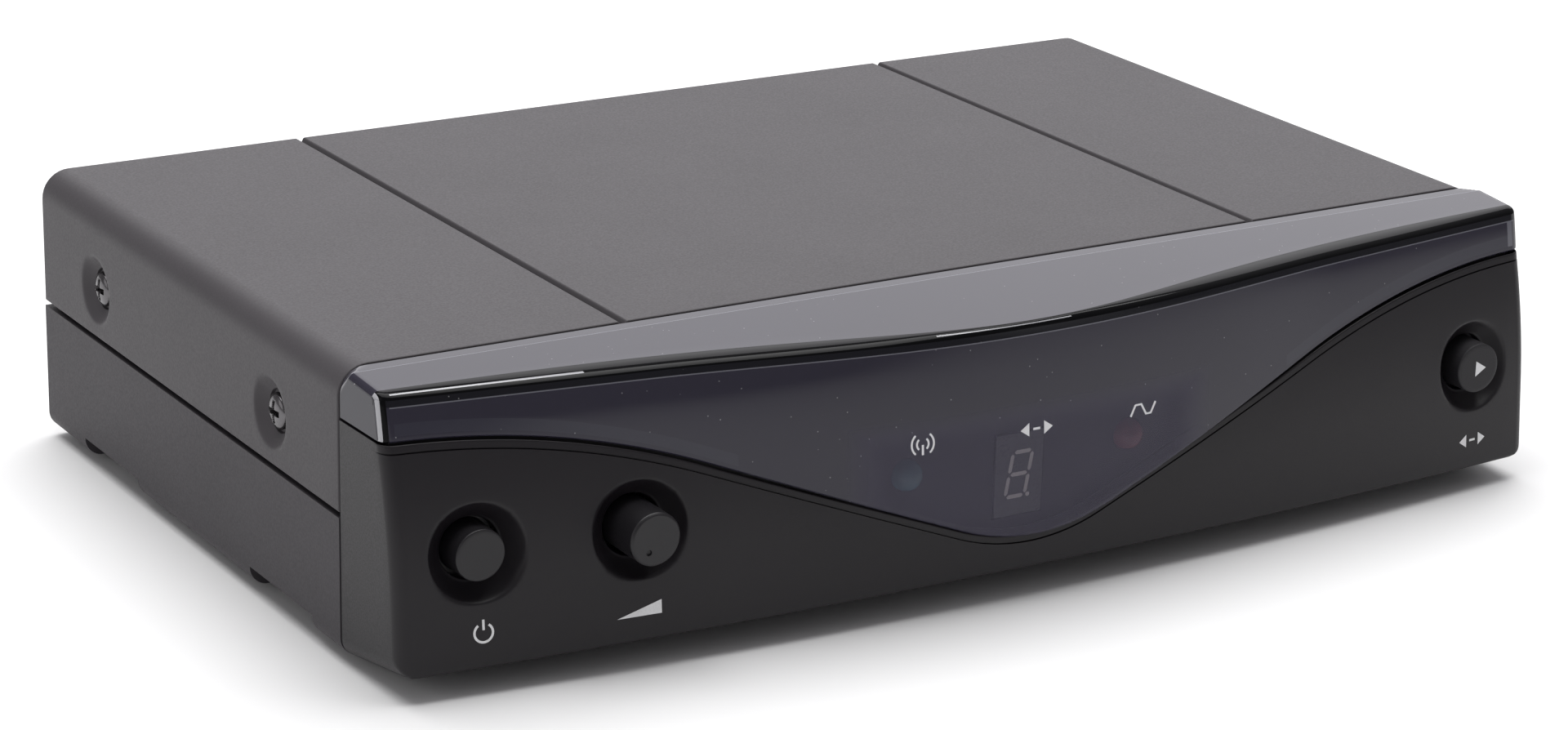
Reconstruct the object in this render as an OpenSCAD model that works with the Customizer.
// Half-width wireless receiver unit: plastic case, curved front panel, smoked display window,
// three front controls, circuit boards and rear sockets.
// Frame: X across the width, Y from front to rear, Z up. Origin: middle of the footprint, on the table.

/* [Case] */
// Width of the case
body_w = 200; // [196:1:206]
// Height from the table to the top of the cover
body_h = 44; // [42:0.5:46]
// Front-to-rear length of the cover and of the case
cover_len = 108.6; // [104:0.2:114]
// Wall thickness of the cover and of the case
wall = 2; // [1.6:0.1:2.4]
// Radius of the cover's long top edges
edge_r = 4.5; // [3.5:0.5:5.5]
// Radius of the case's long bottom edges
bottom_r = 3; // [2:0.5:3.5]
// Height of the middle of the seam between cover and case
seam_z = 22.35; // [21:0.05:24]
// Width of the seam
seam_gap = 0.8; // [0.5:0.1:1.2]
// How far the feet stand below the case
foot_h = 1.1; // [0.8:0.1:2]
// Distance from the middle to each groove in the cover's top
groove_x = 55.4; // [50:0.2:60]
// How far the antenna sockets stand out behind the case
rear_out = 10.2; // [9:0.1:12]

/* [Front] */
// Depth of the front panel ahead of the cover, at its middle
panel_depth = 24; // [22:0.5:26]
// Radius of the front panel's curve in plan
plan_r = 783; // [700:1:900]
// Slope of the lower part of the front face
lean_slope = 0.075; // [0.05:0.005:0.09]
// Radius of the backward curve of the upper part of the front face
lean_r = 100; // [90:5:140]
// Thickness of the front panel
panel_t = 2.4; // [2:0.1:2.6]
// Thickness of the display window
window_t = 1.8; // [1.5:0.1:2]
// How far the display window bulges ahead of the panel at its middle
bulge_d = 1.2; // [0.8:0.1:1.6]
// Height of the lowest point of the window's lower edge
sweep_low = 10.2; // [9.5:0.1:11]
// Radius of the lower edge's dip
sweep_r = 34; // [30:1:38]
// Slope angle of the lower edge's flanks
sweep_angle = 21.2; // [20:0.2:22]
// Distance from the middle to the outer end of each flank
flank_x = 53; // [51:0.5:55]
// Radius of the lower edge's shoulders
shoulder_r = 123; // [118:1:126]

/* [Controls] */
// Distance from the middle to the on/off and channel buttons
button_x = 87.5; // [86:0.5:89]
// Distance from the middle to the volume knob
knob_x = 63.4; // [62:0.2:65]
// Height of the three controls
control_z = 20.5; // [19:0.5:22]
// Radius of the round dish about each control
dish_r = 7.3; // [6.8:0.05:7.6]
// Diameter of the on/off button
power_d = 7.6; // [7:0.1:8]
// Diameter of the channel button
channel_d = 8; // [7:0.1:8.2]
// Diameter of the volume knob
knob_d = 7.9; // [7:0.1:8.5]
// Travel of the on/off button
power_travel = 2.2; // [1.5:0.1:2.2]
// Travel of the channel button
channel_travel = 1.2; // [0.8:0.1:1.2]

/* [Rear sockets] */
// Distance from the middle to each antenna socket
antenna_x = 82; // [76:1:84]
// Position of the balanced output socket across the rear
xlr_x = -20; // [-24:1:-16]
// Position of the jack output socket across the rear
jack_x = 24; // [20:1:28]
// Position of the supply socket across the rear
dc_x = 56; // [52:1:60]
// Height of the rear sockets
socket_z = 22.5; // [21:0.5:24]

/* [Hidden] */

$fn = 96;
eps = 0.01;

// Main planes. The overall depth runs from the window's bulge to the ends of the antenna sockets.
front_out = panel_depth + bulge_d;
depth_all = front_out + cover_len + rear_out;
y_cov = front_out - depth_all / 2;
y_rear = y_cov + cover_len;
y_face = y_cov - panel_depth;
half_w = body_w / 2;
z_case = foot_h;
z_floor = z_case + wall;
case_top = seam_z - seam_gap / 2;
cover_low = seam_z + seam_gap / 2;
face_foot = 3.9;
lean_start = 16;

// Front face: how far it lies back at height z, and its Y at a point across the width.
function lean(z) = lean_slope * (z - face_foot) + pow(max(0, z - lean_start), 2) / (2 * lean_r);
function face_y(x, z) = y_face + x * x / (2 * plan_r) + lean(z);

// Display window: the bulge dies out at bulge_x either side of the middle. The window stands more
// upright than the panel: by a slope away from the middle, by a gentler curve in the middle.
bulge_x = 60;
upright = 0.12;
mid_relief = 0.0014;
function bulge(x) = abs(x) < bulge_x ? pow(cos(90 * x / bulge_x), 2) : 0;
function window_y(x, z) =
    face_y(x, z) - bulge(x) * (bulge_d + lean_slope * (z - face_foot))
    - upright * (1 - bulge(x)) * max(0, z - sweep_z(x))
    - mid_relief * bulge(x) * pow(max(0, z - lean_start), 2);

// Crease between the window's face and its top band: furthest forward and lowest in the middle.
crest_half_w = 50;
crease_end_y = y_cov - 9.9;
crease_mid = 12.1;
crease_z = 43.4;
crease_drop = 1;
crease_turn = 0.9;
crest_end = 1 / (1 + pow(half_w / crest_half_w, 2));
function crest(x) = (1 / (1 + pow(x / crest_half_w, 2)) - crest_end) / (1 - crest_end);

// Lower edge of the window, as tangent arcs and straight flanks.
dip_x = sweep_r * sin(sweep_angle);
dip_z = sweep_low + sweep_r * (1 - cos(sweep_angle));
flank_z = dip_z + (flank_x - dip_x) * tan(sweep_angle);
shoulder_x = flank_x + shoulder_r * sin(sweep_angle);
shoulder_z = flank_z + shoulder_r * (1 - cos(sweep_angle));
function dip_edge(x) = sweep_low + sweep_r - sqrt(sweep_r * sweep_r - x * x);
function shoulder_edge(x) =
    shoulder_z - shoulder_r + sqrt(shoulder_r * shoulder_r - pow(min(0, x - shoulder_x), 2));
function sweep_z(x) =
    abs(x) < dip_x ? dip_edge(x)
    : abs(x) < flank_x ? dip_z + (abs(x) - dip_x) * tan(sweep_angle)
    : shoulder_edge(abs(x));

// Gap between window and panel, and the fine groove below it.
edge_gap = 0.4;
rim_h = 1.0;
rim_groove = 0.3;

// Tabs on the front panel that screw down to the case floor.
tab_x = 70;
tab_w = 10;

// Control depths, all along Y.
boss_back = y_cov - 13.2;
dish_sphere_r = 8.5;
dish_out = sqrt(dish_sphere_r * dish_sphere_r - dish_r * dish_r);
button_bore_r = 4.45;
knob_bore_r = 4.5;
power_face = y_cov - 18.6;
channel_face = y_cov - 19;
knob_face = y_cov - 24.5;
button_back = y_cov - 14.8;
flange_t = 0.8;
plunger_r = 1.95;
shaft_r = 2;
shaft_in = 7;
knob_back = y_cov - 14.2;
running = 0.05;

// Front board and what stands on it.
front_board_y = y_cov - 6;
board_t = 1.6;
mask_y = y_cov - 13.4;
mask_t = 1;
carrier_y = y_cov - 19.8;
lamp_rim_y = carrier_y + mask_t;
lamp_rim_t = 1;
led_x = 19.5;
led_z = 21.1;
led_r = 2.5;
led_tip = y_cov - 22.1;
digit_z = 18.1;
digit_front = y_cov - 20;

// Main board.
main_z = 9;
main_y0 = y_cov + 2;
main_len = 100;
main_w = 180;
main_top = main_z + board_t;
post_x = 84;
post_y = [y_cov + 10, y_cov + 92];

// Side screws: their stations along the case and their dished seats.
side_screw_y = [y_cov + 22.7, y_cov + 87.2];
side_screw_z = 30.4;
seat_r = 3.2;
seat_depth = 2;
side_dish_r = 5.3;
side_sphere_r = 7.2;
side_dish_out = sqrt(side_sphere_r * side_sphere_r - side_dish_r * side_dish_r);
boss_r = 7.2;
boss_in = half_w - 4.4;
tab_t = 3.6;
insert_r = 2.1;
screw_r = 1.45;
screw_hole_r = 1.5;

// Rear panel.
rear_t = 2;
rear_recess = 1.5;
rear_face = y_rear - rear_recess;
rear_fit = 0.15;
rear_screw_x = 44;
rear_screw_z = 8;
barrel_r = 6;
xlr_shell_r = 11.8;
xlr_cavity_r = 9.6;
jack_bush_r = 4.5;
dc_body_r = 5.5;

// Feet.
foot_x = 82;
foot_y = [y_cov + 20, y_cov + 82.75];
foot_r = 6.5;
foot_seat = 0.5;

// Lies a Z-axis shape down so that its own +Z points to the rear, from y = y0 on.
module rearward(x, y0, z) translate([x, y0, z]) rotate([-90, 0, 0]) children();

// Lies a Z-axis shape down so that its own +Z points outward on the given side.
module outward(side, x0, y, z) translate([side * x0, y, z]) rotate([0, side * 90, 0]) children();

module ring(r_out, r_in, h) {
    difference() {
        cylinder(r = r_out, h = h);
        translate([0, 0, -eps]) cylinder(r = r_in, h = h + 2 * eps);
    }
}

// Outline of the closed case seen from the front, moved inward by t.
module case_outline(t) {
    w = half_w - t;
    r_top = edge_r - t;
    r_low = max(bottom_r - t, 0.5);
    union() {
        translate([-w, z_case + t + r_low]) square([2 * w, body_h - z_case - 2 * t - r_top - r_low]);
        translate([-w + r_top, body_h - t - r_top - eps]) square([2 * (w - r_top), r_top + eps]);
        translate([-w + r_low, z_case + t]) square([2 * (w - r_low), r_low + eps]);
        for (side = [-1, 1]) {
            translate([side * (w - r_top), body_h - t - r_top]) circle(r = r_top);
            translate([side * (w - r_low), z_case + t + r_low]) circle(r = r_low);
        }
    }
}

// A band of the outline between two heights, as a tube along Y.
module case_band(z0, z1, t, y0, y1) {
    translate([0, y1, 0]) rotate([90, 0, 0]) linear_extrude(height = y1 - y0)
        intersection() {
            case_outline(t);
            translate([-half_w - 1, z0]) square([2 * half_w + 2, z1 - z0]);
        }
}

module cross_recess(r, depth) {
    for (a = [0, 90]) rotate([0, 0, a]) translate([-r, -0.35, -depth]) cube([2 * r, 0.7, depth + 1]);
}

// Pan-head screw standing on Z = 0, head up, shank down.
module pan_screw(head_r, head_h, shank_r, shank_len) {
    difference() {
        union() {
            cylinder(r = head_r, h = head_h * 0.6);
            translate([0, 0, head_h * 0.6]) cylinder(r1 = head_r, r2 = head_r * 0.72, h = head_h * 0.4);
            translate([0, 0, -shank_len]) cylinder(r = shank_r, h = shank_len + eps);
        }
        translate([0, 0, head_h]) cross_recess(head_r * 0.6, head_h * 0.65);
    }
}

// ---- Case ----

module top_cover() {
    color([0.33, 0.32, 0.34]) difference() {
        union() {
            difference() {
                case_band(cover_low, body_h + 1, 0, y_cov, y_rear);
                case_band(cover_low - 1, body_h + 1, wall, y_cov - 1, y_rear + 1);
            }
            for (side = [-1, 1], y = side_screw_y) outward(side, boss_in, y, side_screw_z)
                cylinder(r = boss_r, h = half_w - wall - boss_in + 0.5);
            translate([-half_w + 10, rear_face - rear_t - 1.4, body_h - wall - 2])
                cube([body_w - 20, 1.4, 2.5]);
        }
        for (side = [-1, 1]) translate([side * groove_x, y_cov - 1, body_h]) rotate([0, 45, 0])
            translate([-0.35, 0, -0.35]) cube([0.7, cover_len + 2, 0.7]);
        for (side = [-1, 1], y = side_screw_y) {
            outward(side, half_w + side_dish_out, y, side_screw_z) sphere(r = side_sphere_r);
            outward(side, half_w - seat_depth, y, side_screw_z) cylinder(r = seat_r, h = seat_depth + 1);
            outward(side, boss_in - 1, y, side_screw_z) cylinder(r = 1.7, h = 10);
        }
    }
}

// Shallow pocket in the case's lower side edge beside each foot.
module edge_pocket(side, y) {
    notch_len = 21.2;
    notch_in = 8;
    notch_h = 3.1;
    translate([side > 0 ? half_w - notch_in : -half_w - 1, y - notch_len / 2, z_case - 1])
        cube([notch_in + 1, notch_len, notch_h + 1]);
}

module bottom_case() {
    tongue_h = 23.1;
    tongue_t = 1.2;
    color([0.28, 0.27, 0.29]) difference() {
        union() {
            difference() {
                case_band(z_case - 1, case_top, 0, y_cov, y_rear);
                case_band(z_case - 1, case_top + 1, wall, y_cov - 1, y_rear + 1);
            }
            for (side = [-1, 1]) {
                // Tongue that locates the cover, kept 0.1 clear of its inner face.
                translate([side * (half_w - wall - tongue_t / 2 - 0.1) - tongue_t / 2, y_cov + 1, 17])
                    cube([tongue_t, cover_len - 5.6, tongue_h - 17]);
                translate([side > 0 ? half_w - wall - 0.2 : -half_w + wall - 0.1, y_cov + 1, 17])
                    cube([0.3, cover_len - 5.6, case_top - 17.5]);
                for (y = foot_y) translate([side > 0 ? half_w - wall - 8 : -half_w + wall - 0.5,
                    y - 12, z_floor - eps]) cube([8.5, 24, 3.2]);
                for (y = side_screw_y) translate([side > 0 ? boss_in - tab_t : -boss_in,
                    y - 6, z_floor - eps]) cube([tab_t, 12, side_screw_z + 5.5 - z_floor]);
                for (y = post_y) translate([side * post_x, y, z_floor - eps])
                    cylinder(r = 3.5, h = main_z - z_floor + eps);
                translate([side * rear_screw_x - 4, rear_face - rear_t - 8, z_floor - eps])
                    cube([8, 8, rear_screw_z + 4 - z_floor]);
                translate([side * tab_x - 6, y_cov, z_floor - eps]) cube([12, 9, 2]);
            }
        }
        for (side = [-1, 1]) {
            for (y = foot_y) {
                edge_pocket(side, y);
                translate([side * foot_x, y, z_case - 1]) cylinder(r = foot_r, h = 1 + foot_seat);
            }
            for (y = side_screw_y) outward(side, boss_in - tab_t - 1, y, side_screw_z)
                cylinder(r = insert_r, h = tab_t + 2);
            for (y = post_y) translate([side * post_x, y, z_floor + 1]) cylinder(r = screw_hole_r, h = 10);
            rearward(side * rear_screw_x, rear_face - rear_t - 7, rear_screw_z)
                cylinder(r = screw_hole_r, h = 8);
            translate([side * tab_x, y_cov + 4, z_case + 0.8]) cylinder(r = screw_hole_r, h = 6);
        }
    }
}

module rear_panel() {
    color([0.15, 0.15, 0.16]) difference() {
        translate([0, rear_face, 0]) rotate([90, 0, 0]) linear_extrude(height = rear_t)
            case_outline(wall + rear_fit);
        for (side = [-1, 1]) {
            rearward(side * antenna_x, rear_face - 5, socket_z) cylinder(r = barrel_r + running, h = 10);
            rearward(side * rear_screw_x, rear_face - 5, rear_screw_z) cylinder(r = 1.7, h = 10);
            rearward(xlr_x + side * 9.5, rear_face - 5, socket_z + side * 12)
                cylinder(r = screw_hole_r, h = 10);
        }
        rearward(xlr_x, rear_face - 5, socket_z) cylinder(r = xlr_shell_r + 0.1, h = 10);
        rearward(jack_x, rear_face - 5, socket_z) cylinder(r = jack_bush_r + running, h = 10);
        rearward(dc_x, rear_face - 5, socket_z) cylinder(r = dc_body_r + running, h = 10);
    }
}

module feet() {
    color([0.1, 0.1, 0.1]) for (side = [-1, 1], y = foot_y) translate([side * foot_x, y, 0])
        rotate_extrude() polygon([[0, 0], [foot_r - 0.9, 0], [foot_r - 0.4, 0.4],
            [foot_r - 0.1, z_case + foot_seat], [0, z_case + foot_seat]]);
}

// ---- Front panel and display window ----

// Everything behind the front face, as a slice of a large turned body.
module face_solid(inset) {
    r_in = 700;
    z0 = 0;
    z1 = 46;
    step = 2;
    profile = [for (z = [z0:step:z1]) [plan_r - inset - lean(z), z]];
    translate([0, y_face + plan_r, 0]) rotate([0, 0, -100])
        rotate_extrude(angle = 20, $fn = 360) polygon(concat([[r_in, z0]], profile, [[r_in, z1]]));
}

// Region above the window's lower edge, seen from the front, moved up by dz.
module above_sweep(dz) {
    far = half_w + 20;
    translate([0, dz]) difference() {
        union() {
            polygon([[-far, 60], [-far, shoulder_z], [-shoulder_x, shoulder_z], [-flank_x, flank_z],
                [-dip_x, dip_z], [dip_x, dip_z], [flank_x, flank_z], [shoulder_x, shoulder_z],
                [far, shoulder_z], [far, 60]]);
            intersection() {
                translate([0, sweep_low + sweep_r]) circle(r = sweep_r, $fn = 240);
                translate([-dip_x, 0]) square([2 * dip_x, dip_z + 1]);
            }
        }
        for (side = [-1, 1]) intersection() {
            translate([side * shoulder_x, shoulder_z - shoulder_r]) circle(r = shoulder_r, $fn = 720);
            translate([side > 0 ? flank_x : -shoulder_x, 0]) square([shoulder_x - flank_x, 60]);
        }
    }
}

module from_front(y0, y1) translate([0, y1, 0]) rotate([90, 0, 0]) linear_extrude(height = y1 - y0) children();

// How far the sides draw in towards the front, as a share of the width for each millimetre.
draw_in = 0.00025;
function drawn(x, y) = x * (1 - draw_in * (y_cov - y));

// Envelope of the front panel without its openings; t moves the sides and floor inward.
// The floor rises to the front, and its corners stay rounded all the way.
floor_angle = 8.8;
module panel_block(t) {
    side_x = half_w - 0.1 - t;
    r_low = bottom_r - t / 2;
    y_front = y_face - 4;
    y_back = y_cov + (t > 0 ? 1 : -0.3);
    intersection() {
        face_solid(t);
        translate([0, y_cov - 0.5, z_case + t]) rotate([90 - floor_angle, 0, 0])
            translate([0, 0, -5]) linear_extrude(height = panel_depth + 12) union() {
                translate([-side_x, r_low]) square([2 * side_x, 60]);
                translate([-side_x + r_low, 0]) square([2 * (side_x - r_low), r_low + 1]);
                for (side = [-1, 1]) translate([side * (side_x - r_low), r_low]) circle(r = r_low);
            }
        translate([0, 0, z_case + t]) linear_extrude(height = 60) polygon([
            [-drawn(side_x, y_back), y_back], [-drawn(side_x, y_front), y_front],
            [drawn(side_x, y_front), y_front], [drawn(side_x, y_back), y_back]]);
    }
}

// Dish about a control, sunk along the face's own normal, and the bore behind it.
module control_dish(x, bore_r) {
    y = face_y(x, control_z);
    slope_z = lean_slope + (control_z - lean_start) / lean_r;
    translate([x + dish_out * x / plan_r, y - dish_out, control_z + dish_out * slope_z])
        sphere(r = dish_sphere_r);
    rearward(x, y - 1, control_z) cylinder(r = bore_r, h = 20);
}

module front_panel() {
    controls = [[-button_x, button_bore_r], [-knob_x, knob_bore_r], [button_x, button_bore_r]];
    color([0.1, 0.1, 0.11]) difference() {
        union() {
            difference() {
                panel_block(0);
                panel_block(panel_t);
            }
            intersection() {
                panel_block(0.5);
                for (c = controls) rearward(c[0], y_face, control_z)
                    cylinder(r = dish_r + 1.6, h = boss_back - y_face);
            }
            for (side = [-1, 1]) {
                translate([side * tab_x - tab_w / 2, y_cov - 6, z_floor + 2]) cube([tab_w, 14, 1.6]);
                translate([side * tab_x - tab_w / 2, y_cov - 6, z_floor]) cube([tab_w, 5, 3]);
            }
        }
        from_front(y_face - 5, y_cov + 5) above_sweep(-edge_gap / 2);
        // Fine groove that sets off the rim below the window.
        difference() {
            from_front(y_face - 5, y_cov - 8) difference() {
                above_sweep(-edge_gap / 2 - rim_h - rim_groove);
                above_sweep(-edge_gap / 2 - rim_h);
            }
            face_solid(0.35);
        }
        for (c = controls) control_dish(c[0], c[1]);
        for (side = [-1, 1]) translate([side * tab_x, y_cov + 4, z_floor]) cylinder(r = 1.7, h = 6);
    }
}

// Section of the window at x, as a closed ring of [y, z] points.
window_back = y_cov - 0.35;
window_half_w = half_w - 0.2;
strip_len = 2.8;
corner_back_r = edge_r;
corner_front_r = 1;
plan_corner_r = 1.8;
inner_bevel = 0.6;
ring_face = 4;
ring_round = 4;
function corner_y(x) =
    let (d = max(0, abs(x) - window_half_w + plan_corner_r))
    plan_corner_r - sqrt(max(0, plan_corner_r * plan_corner_r - d * d));
function crest_y(x) = crease_end_y - crease_mid * crest(x);
function crest_z(x) = crease_z - crease_drop * crest(x);
function corner_r(y) =
    corner_front_r + (corner_back_r - corner_front_r) * max(0, min(1, 1 - (y_cov - y) / strip_len));
function corner_limit(x, y) =
    let (r = corner_r(y), d = max(0, abs(x) - window_half_w + r))
    body_h - r + sqrt(max(0, r * r - d * d));
function outer_ring(x) =
    let (z0 = sweep_z(x) + edge_gap / 2, zt = crest_z(x), zf = zt - crease_turn, yt = crest_y(x),
        yf = window_y(x, zf) + corner_y(x), dy = yt - yf)
    concat(
        [for (i = [0:ring_face]) let (z = z0 + (zf - z0) * i / ring_face) [window_y(x, z) + corner_y(x), z]],
        [for (i = [1:ring_round]) let (a = 90 * i / ring_round) [yt - dy * cos(a), zf + (zt - zf) * sin(a)]],
        [[y_cov - strip_len, body_h - 0.1], [window_back, body_h]]);
function limited(x, pts) = [for (p = pts) [p[0], min(p[1], corner_limit(x, p[0]))]];
// The inner face: up the front, over a small bevel, then back under the top band.
function inner_ring(x) =
    let (z0 = sweep_z(x) + edge_gap / 2, z1 = crest_z(x) - window_t - inner_bevel,
        y1 = window_y(x, z1) + window_t)
    concat(
        [for (i = [0:ring_face]) let (z = z0 + (z1 - z0) * i / ring_face) [window_y(x, z) + window_t, z]],
        [[y1 + inner_bevel, z1 + inner_bevel],
            [window_back, min(body_h, corner_limit(x, window_back)) - window_t]]);
// In the side walls the section is closed straight across its lower edge.
function closing_line(x) =
    let (y0 = window_y(x, sweep_z(x)) + corner_y(x) + 0.2, z0 = sweep_z(x) + edge_gap / 2, k = ring_face + 2)
    [for (i = [0:k]) [y0 + (window_back - y0) * i / k, z0]];
function window_ring(x, solid) =
    let (o = limited(x, outer_ring(x)), n = solid ? closing_line(x) : inner_ring(x))
    [for (p = concat(o, [for (i = [len(n) - 1:-1:0]) n[i]])) [drawn(x, p[0]), p[0], p[1]]];

module display_window() {
    side_t = 1.8;
    n = 40;
    inner_w = window_half_w - side_t;
    corner_x = [0, 0.5, 0.95, 1.3, 1.6, side_t];
    xs = concat(
        [for (c = corner_x) [-window_half_w + c, true]],
        [for (i = [0:n]) [-inner_w + eps + (2 * inner_w - 2 * eps) * i / n, false]],
        [for (i = [len(corner_x) - 1:-1:0]) [window_half_w - corner_x[i], true]]);
    rings = [for (s = xs) window_ring(s[0], s[1])];
    m = len(rings[0]);
    k = len(rings);
    points = [for (r = rings, p = r) p];
    sides = [for (i = [0:k - 2], j = [0:m - 1]) let (a = i * m + j, b = i * m + (j + 1) % m)
        each [[a, a + m, b], [b, a + m, b + m]]];
    apex = ring_face + ring_round + 1;
    caps = [[for (j = [0:m - 1]) (j + apex) % m], [for (j = [m:-1:1]) (k - 1) * m + (j + apex) % m]];
    color([0.2, 0.21, 0.26, 0.75]) polyhedron(points = points, faces = concat(sides, caps));
}

// Dark backing behind the window: a lamp carrier in the middle, two plates and a top shelf.
module display_mask() {
    mid_x = 62;
    low_x = 53;
    carrier_x = 26;
    side_y = y_cov - 9.8;
    shelf_z = 38.9;
    shelf_t = 1;
    mask_low = 31.5;
    mask_foot = 7;
    carrier_foot = 9;
    carrier_d = mask_y - carrier_y;
    color([0.06, 0.06, 0.07]) difference() {
        union() {
            translate([-low_x, mask_y - mask_t, mask_foot])
                cube([2 * low_x, mask_t, shelf_z - mask_foot + eps]);
            translate([-mid_x, mask_y - mask_t, mask_low])
                cube([2 * mid_x, mask_t, shelf_z - mask_low + eps]);
            translate([-carrier_x, carrier_y, carrier_foot])
                cube([2 * carrier_x, mask_t, mask_low - carrier_foot]);
            for (x = [-carrier_x, carrier_x - mask_t]) translate([x, carrier_y, carrier_foot])
                cube([mask_t, carrier_d, mask_low - carrier_foot]);
            translate([-carrier_x, carrier_y, mask_low - mask_t]) cube([2 * carrier_x, carrier_d, mask_t]);
            for (side = [-1, 1]) translate([side > 0 ? mid_x - mask_t : -half_w + 4.5, side_y, mask_low])
                cube([half_w - 4.5 - mid_x + mask_t, mask_t, shelf_z - mask_low + eps]);
            for (side = [-1, 1]) translate([side > 0 ? mid_x - mask_t : -mid_x, mask_y - eps, mask_low])
                cube([mask_t, side_y - mask_y + mask_t, shelf_z - mask_low + eps]);
            translate([0, 0, shelf_z]) linear_extrude(height = shelf_t) polygon([
                [-95.5, y_cov - 1], [-95.5, y_cov - 9.8], [-mid_x, y_cov - 13.5], [-30, y_cov - 17],
                [0, y_cov - 19], [30, y_cov - 17], [mid_x, y_cov - 13.5], [95.5, y_cov - 9.8],
                [95.5, y_cov - 1]]);
        }
        for (side = [-1, 1]) rearward(side * led_x, carrier_y - 1, led_z)
            cylinder(r = led_r + 0.1, h = carrier_d + 2);
        translate([-4.4, carrier_y - 1, digit_z - 6.6]) cube([8.8, carrier_d + 2, 13.2]);
    }
}

// ---- Front board ----

module front_board() {
    color([0.08, 0.3, 0.16]) difference() {
        translate([-94, front_board_y, 8.5]) cube([188, board_t, 28.5]);
        translate([-button_x - 4.4, front_board_y - 1, control_z - 4.4]) cube([8.8, board_t + 2, 8.8]);
        for (side = [-1, 1]) rearward(side * 40, front_board_y - 1, 33) cylinder(r = 1.6, h = 4);
    }
}

module digit_display() {
    color([0.16, 0.16, 0.17]) translate([-4.2, digit_front, digit_z - 6.4]) cube([8.4, 6.4, 12.8]);
    color([0.8, 0.8, 0.82]) for (x = [-2.54, 2.54], i = [-2:2])
        translate([x - 0.2, digit_front + 6.4 - eps, digit_z + i * 2.2 - 0.2]) cube([0.4, 1.4, 0.4]);
}

module display_header() {
    header_y = digit_front + 6.4;
    color([0.05, 0.05, 0.05]) difference() {
        translate([-4.2, header_y, digit_z - 6.4]) cube([8.4, front_board_y - header_y, 12.8]);
        for (x = [-2.54, 2.54], i = [-2:2])
            translate([x - 0.25, header_y - 1, digit_z + i * 2.2 - 0.25]) cube([0.5, 3, 0.5]);
    }
}

// Domed indicator with a rim at its base.
module indicator(x) {
    rim_y = lamp_rim_y;
    rearward(x, led_tip + led_r, led_z) union() {
        intersection() {
            sphere(r = led_r);
            translate([0, 0, -led_r - eps]) cylinder(r = led_r + 1, h = led_r + 2 * eps);
        }
        cylinder(r = led_r, h = rim_y - led_tip - led_r);
        translate([0, 0, rim_y - led_tip - led_r]) cylinder(r = led_r + 0.4, h = lamp_rim_t);
    }
}

module rf_led() color([0.35, 0.75, 0.6]) indicator(-led_x);
module clip_led() color([0.75, 0.25, 0.25]) indicator(led_x);

module led_spacers() {
    y0 = lamp_rim_y + lamp_rim_t;
    color([0.05, 0.05, 0.05]) for (side = [-1, 1]) rearward(side * led_x, y0, led_z)
        ring(led_r, 1, front_board_y - y0);
}

// ---- Controls ----

// Round push button: cap, retaining flange behind the panel and a blind bore for the plunger.
module push_button(x, face, d) {
    back = boss_back + 0.1 + flange_t;
    difference() {
        rearward(x, face, control_z) union() {
            cylinder(r1 = d / 2 - 0.35, r2 = d / 2, h = 0.35);
            translate([0, 0, 0.35]) cylinder(r = d / 2, h = back - face - 0.35);
            translate([0, 0, boss_back + 0.1 - face]) cylinder(r = button_bore_r + 0.9, h = flange_t);
        }
        rearward(x, button_back, control_z) cylinder(r = plunger_r, h = 20);
    }
}

module power_button() color([0.12, 0.12, 0.13]) push_button(-button_x, power_face, power_d);
module channel_button() color([0.14, 0.14, 0.15]) push_button(button_x, channel_face, channel_d);

module power_plunger() {
    color([0.85, 0.85, 0.82]) rearward(-button_x, button_back, control_z)
        cylinder(r = plunger_r, h = 10.4);
}

module power_switch() {
    y0 = boss_back + 0.1 + flange_t + power_travel + 0.4;
    len = 14;
    color([0.2, 0.2, 0.22]) difference() {
        translate([-button_x - 4.25, y0, control_z - 4.25]) cube([8.5, len, 8.5]);
        rearward(-button_x, y0 - 1, control_z) cylinder(r = plunger_r + running, h = len - 2);
    }
}

module channel_plunger() {
    color([0.85, 0.85, 0.82]) rearward(button_x, button_back, control_z) cylinder(r = plunger_r, h = 6.6);
}

module channel_switch() {
    y0 = boss_back + 0.1 + flange_t + channel_travel + 1.6;
    color([0.2, 0.2, 0.22]) difference() {
        translate([button_x - 4, y0, control_z - 4]) cube([8, front_board_y - y0, 8]);
        rearward(button_x, y0 - 1, control_z) cylinder(r = plunger_r + running, h = 4);
    }
}

// The knob's pointer is a small round dimple in its face, at the seven o'clock stop.
pointer_angle = 213;
pointer_at = 2.05;
module volume_knob() {
    color([0.12, 0.12, 0.13]) difference() {
        rearward(-knob_x, knob_face, control_z) union() {
            cylinder(r1 = knob_d / 2 - 0.35, r2 = knob_d / 2, h = 0.35);
            translate([0, 0, 0.35]) cylinder(r = knob_d / 2, h = knob_back - knob_face - 0.35);
        }
        rearward(-knob_x, knob_back - shaft_in, control_z) cylinder(r = shaft_r, h = 8);
        rearward(-knob_x + pointer_at * sin(pointer_angle), knob_face - 1,
            control_z + pointer_at * cos(pointer_angle)) cylinder(r = 0.4, h = 1.35);
    }
}

module volume_shaft() {
    color([0.75, 0.75, 0.78]) rearward(-knob_x, knob_back - shaft_in, control_z)
        cylinder(r = shaft_r, h = 14);
}

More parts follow.
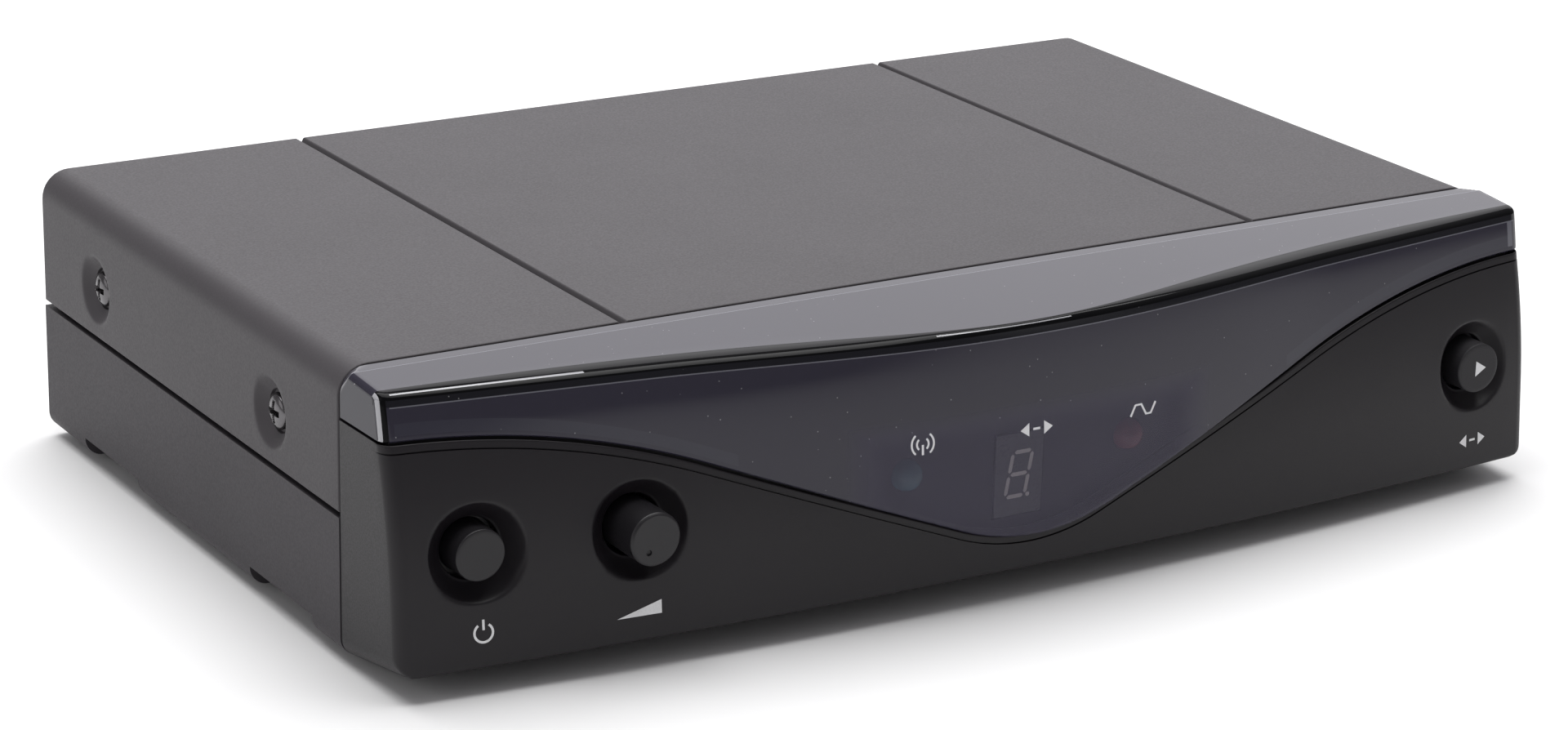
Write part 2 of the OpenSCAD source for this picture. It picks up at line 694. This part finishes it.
module volume_pot() {
    body_y = front_board_y - 4.6;
    bush_y = y_cov - 13.4;
    color([0.5, 0.52, 0.55]) difference() {
        union() {
            translate([-knob_x - 5, body_y, control_z - 6]) cube([10, front_board_y - body_y, 11]);
            rearward(-knob_x, bush_y, control_z) cylinder(r = 3.5, h = body_y - bush_y + eps);
        }
        rearward(-knob_x, bush_y - 1, control_z) cylinder(r = shaft_r + running, h = 8);
    }
}

// ---- Main board ----

module main_board() {
    color([0.08, 0.3, 0.16]) difference() {
        translate([-main_w / 2, main_y0, main_z]) cube([main_w, main_len, board_t]);
        for (side = [-1, 1], y = post_y) translate([side * post_x, y, main_z - 1]) cylinder(r = 1.7, h = 4);
        for (side = [-1, 1]) translate([side * rear_screw_x - 4.5, rear_face - rear_t - 8.5, main_z - 1])
            cube([9, 12, 4]);
    }
}

// Folded metal screening can with a row of round tuning holes.
module shield_can(x, y, w, d, h, holes) {
    sheet = 0.5;
    translate([x, y, main_top]) difference() {
        cube([w, d, h]);
        translate([sheet, sheet, -1]) cube([w - 2 * sheet, d - 2 * sheet, h + 1 - sheet]);
        for (i = [1:holes]) translate([w * i / (holes + 1), d / 2, 0]) cylinder(r = 1.5, h = h + 1);
    }
}

module tuner_shield() color([0.75, 0.76, 0.78]) shield_can(14, y_cov + 26, 58, 42, 8, 4);
module synthesiser_shield() color([0.75, 0.76, 0.78]) shield_can(-66, y_cov + 34, 32, 28, 7, 2);

module filter_capacitors() {
    spots = [[38, 82, 5, 12], [52, 84, 5, 12], [66, 82, 4, 10], [-52, 80, 4, 10], [-64, 80, 4, 10]];
    color([0.12, 0.14, 0.3]) for (s = spots) translate([s[0], y_cov + s[1], main_top])
        cylinder(r = s[2], h = s[3]);
}

module audio_chips() {
    spots = [[-22, 40], [-22, 56], [-4, 40], [-4, 56]];
    color([0.07, 0.07, 0.07]) for (s = spots) translate([s[0] - 4, y_cov + s[1] - 5, main_top])
        cube([8, 10, 1.8]);
}

module heat_sink() {
    fins = 6;
    color([0.35, 0.36, 0.38]) translate([58, y_cov + 6, main_top]) union() {
        cube([20, 2, 14]);
        for (i = [0:fins - 1]) translate([i * (20 - 1.2) / (fins - 1), 2 - eps, 0]) cube([1.2, 8, 14]);
    }
}

module voltage_regulator() {
    color([0.07, 0.07, 0.07]) translate([63, y_cov + 4, main_top + 3]) difference() {
        cube([10, 2, 11]);
        translate([5, 3, 8.5]) rotate([90, 0, 0]) cylinder(r = 1.6, h = 4);
    }
}

header_x = -40;
header_w = 16;
header_depth = 4;
header_z = 19;
module board_headers() {
    color([0.85, 0.83, 0.76]) {
        translate([header_x - header_w / 2, front_board_y + board_t, header_z])
            cube([header_w, header_depth, 5]);
        translate([header_x - header_w / 2, y_cov + 10, main_top]) cube([header_w, 5, header_depth]);
    }
}

// Flat cable that leaves the upper header, turns down in a quarter bend and enters the lower one.
module ribbon_cable() {
    cable_w = 13;
    t = 0.9;
    r = 3;
    z_hi = header_z + 2.5;
    y0 = front_board_y + board_t + header_depth;
    y1 = y_cov + 12.5;
    z_lo = main_top + header_depth;
    color([0.62, 0.62, 0.64]) translate([header_x - cable_w / 2, 0, 0]) rotate([90, 0, 90])
        linear_extrude(height = cable_w) {
            translate([y0, z_hi - t / 2]) square([y1 - r - y0 + eps, t]);
            translate([y1 - t / 2, z_lo]) square([t, z_hi - r - z_lo + eps]);
            translate([y1 - r, z_hi - r]) intersection() {
                difference() {
                    circle(r = r + t / 2);
                    circle(r = r - t / 2);
                }
                square([10, 10]);
            }
        }
}

// ---- Fasteners ----

module board_screws() {
    color([0.7, 0.7, 0.72]) for (side = [-1, 1], y = post_y) translate([side * post_x, y, main_top])
        pan_screw(2.7, 1.6, screw_r, 6);
}

module case_inserts() {
    color([0.78, 0.62, 0.3]) for (side = [-1, 1], y = side_screw_y)
        outward(side, boss_in - tab_t, y, side_screw_z) ring(insert_r, screw_hole_r, tab_t);
}

module side_screws() {
    color([0.55, 0.55, 0.57]) for (side = [-1, 1], y = side_screw_y)
        outward(side, half_w - seat_depth, y, side_screw_z) pan_screw(2.7, 1.4, screw_r, 6);
}

module rear_screws() {
    color([0.55, 0.55, 0.57]) for (side = [-1, 1]) rearward(side * rear_screw_x, rear_face, rear_screw_z)
        pan_screw(2.6, 1.3, screw_r, 7);
}

module panel_screws() {
    color([0.7, 0.7, 0.72]) for (side = [-1, 1]) translate([side * tab_x, y_cov + 4, z_floor + 3.6])
        pan_screw(2.6, 1.5, screw_r, 4.4);
}

// ---- Rear sockets ----

nut_t = 2.4;
collar_y = rear_face + nut_t + 0.8;
socket_end = y_rear + rear_out;

// Bayonet antenna socket: threaded barrel through the panel and an open shell with two lugs.
module antenna_socket(side) {
    barrel_y = rear_face - rear_t - 5;
    rearward(side * antenna_x, barrel_y, socket_z) difference() {
        union() {
            cylinder(r = 7.5, h = 5);
            cylinder(r = barrel_r, h = collar_y - barrel_y);
            cylinder(r = 4.8, h = socket_end - barrel_y);
            for (a = [0, 180]) rotate([0, 0, a]) translate([4.3, 0, socket_end - barrel_y - 4.5])
                rotate([0, 90, 0]) cylinder(r = 0.95, h = 1.4);
        }
        translate([0, 0, 2]) cylinder(r = 3.95, h = 40);
    }
}

module antenna_socket_a() color([0.78, 0.78, 0.8]) antenna_socket(1);
module antenna_socket_b() color([0.78, 0.78, 0.8]) antenna_socket(-1);

module antenna_nuts() {
    color([0.72, 0.72, 0.74]) for (side = [-1, 1]) rearward(side * antenna_x, rear_face, socket_z)
        difference() {
            cylinder(r = 8.4, h = nut_t, $fn = 6);
            translate([0, 0, -1]) cylinder(r = barrel_r + running, h = nut_t + 2);
        }
}

module antenna_insulators() {
    y0 = rear_face - rear_t - 3;
    color([0.93, 0.93, 0.9]) for (side = [-1, 1]) rearward(side * antenna_x, y0, socket_z) difference() {
        union() {
            cylinder(r = 3.95, h = 6);
            cylinder(r = 2.4, h = socket_end - 3 - y0);
        }
        translate([0, 0, -1]) cylinder(r = 1.1, h = 40);
    }
}

module antenna_contacts() {
    y0 = rear_face - rear_t - 3;
    color([0.85, 0.7, 0.35]) for (side = [-1, 1]) rearward(side * antenna_x, y0, socket_z) difference() {
        cylinder(r = 1.1, h = socket_end - 3.4 - y0);
        translate([0, 0, 6]) cylinder(r = 0.7, h = 40);
    }
}

xlr_flange_t = 2;
xlr_pin_at = [[-3.5, 0.4], [3.5, 0.4], [0, -3.9]];
xlr_pin_r = 1.2;
xlr_mouth = rear_face + xlr_flange_t;
xlr_floor_y = xlr_mouth - 15;
module xlr_shell() {
    color([0.13, 0.13, 0.14]) difference() {
        union() {
            translate([xlr_x - 13, rear_face, socket_z - 15.5]) cube([26, xlr_flange_t, 31]);
            rearward(xlr_x, xlr_floor_y - 5, socket_z)
                cylinder(r = xlr_shell_r, h = xlr_mouth - xlr_floor_y + 4);
        }
        rearward(xlr_x, xlr_floor_y - 4, socket_z) cylinder(r = xlr_cavity_r, h = 40);
        for (p = xlr_pin_at) rearward(xlr_x + p[0], xlr_floor_y - 6, socket_z + p[1])
            cylinder(r = xlr_pin_r, h = 4);
        for (side = [-1, 1]) rearward(xlr_x + side * 9.5, rear_face - 1, socket_z + side * 12)
            cylinder(r = 1.7, h = 10);
    }
}

module xlr_insert() {
    color([0.05, 0.05, 0.05]) difference() {
        rearward(xlr_x, xlr_floor_y - 4, socket_z) cylinder(r = xlr_cavity_r, h = 4);
        for (p = xlr_pin_at) rearward(xlr_x + p[0], xlr_floor_y - 10, socket_z + p[1])
            cylinder(r = xlr_pin_r, h = 20);
    }
}

module xlr_pins() {
    pin_len = 19.4;
    color([0.85, 0.85, 0.87]) for (p = xlr_pin_at)
        rearward(xlr_x + p[0], xlr_floor_y - 7, socket_z + p[1]) union() {
            cylinder(r = xlr_pin_r, h = pin_len);
            translate([0, 0, pin_len - eps]) cylinder(r1 = xlr_pin_r, r2 = xlr_pin_r / 2, h = 0.8);
        }
}

module xlr_screws() {
    color([0.55, 0.55, 0.57]) for (side = [-1, 1])
        rearward(xlr_x + side * 9.5, xlr_mouth, socket_z + side * 12) pan_screw(2.6, 1.3, screw_r, 6);
}

module jack_socket() {
    body_y = rear_face - rear_t - 24;
    mouth = rear_face + 4.2;
    color([0.1, 0.1, 0.1]) difference() {
        union() {
            translate([jack_x - 8, body_y, socket_z - 7]) cube([16, 24, 14]);
            rearward(jack_x, body_y + 20, socket_z) cylinder(r = jack_bush_r, h = mouth - body_y - 20);
        }
        rearward(jack_x, body_y + 3, socket_z) cylinder(r = 3.2, h = 40);
    }
}

module jack_nut() {
    color([0.72, 0.72, 0.74]) rearward(jack_x, rear_face, socket_z) difference() {
        union() {
            cylinder(r = 7.2, h = 0.6);
            translate([0, 0, 0.6 - eps]) cylinder(r = 6.6, h = 2.2, $fn = 6);
        }
        translate([0, 0, -1]) cylinder(r = jack_bush_r + running, h = 6);
    }
}

module dc_socket() {
    body_y = rear_face - rear_t - 11;
    color([0.08, 0.08, 0.08]) difference() {
        union() {
            translate([dc_x - 6.5, body_y, socket_z - 6.5]) cube([13, 11, 13]);
            rearward(dc_x, body_y, socket_z) cylinder(r = dc_body_r, h = rear_face - body_y + 1);
            rearward(dc_x, rear_face, socket_z) cylinder(r = dc_body_r + 1.2, h = 1);
        }
        rearward(dc_x, body_y + 3, socket_z) cylinder(r = 3.1, h = 20);
        rearward(dc_x, body_y - 1, socket_z) cylinder(r = 1.05, h = 20);
    }
}

module dc_pin() {
    y0 = rear_face - rear_t - 12;
    color([0.85, 0.85, 0.87]) rearward(dc_x, y0, socket_z) cylinder(r = 1.05, h = rear_face - 1 - y0);
}

top_cover();
bottom_case();
rear_panel();
front_panel();
display_window();
display_mask();
front_board();
digit_display();
display_header();
rf_led();
clip_led();
led_spacers();
power_button();
power_plunger();
power_switch();
volume_knob();
volume_shaft();
volume_pot();
channel_button();
channel_plunger();
channel_switch();
main_board();
tuner_shield();
synthesiser_shield();
filter_capacitors();
audio_chips();
heat_sink();
voltage_regulator();
ribbon_cable();
board_headers();
board_screws();
case_inserts();
side_screws();
rear_screws();
panel_screws();
feet();
antenna_socket_a();
antenna_socket_b();
antenna_nuts();
antenna_insulators();
antenna_contacts();
xlr_shell();
xlr_insert();
xlr_pins();
xlr_screws();
jack_socket();
jack_nut();
dc_socket();
dc_pin();
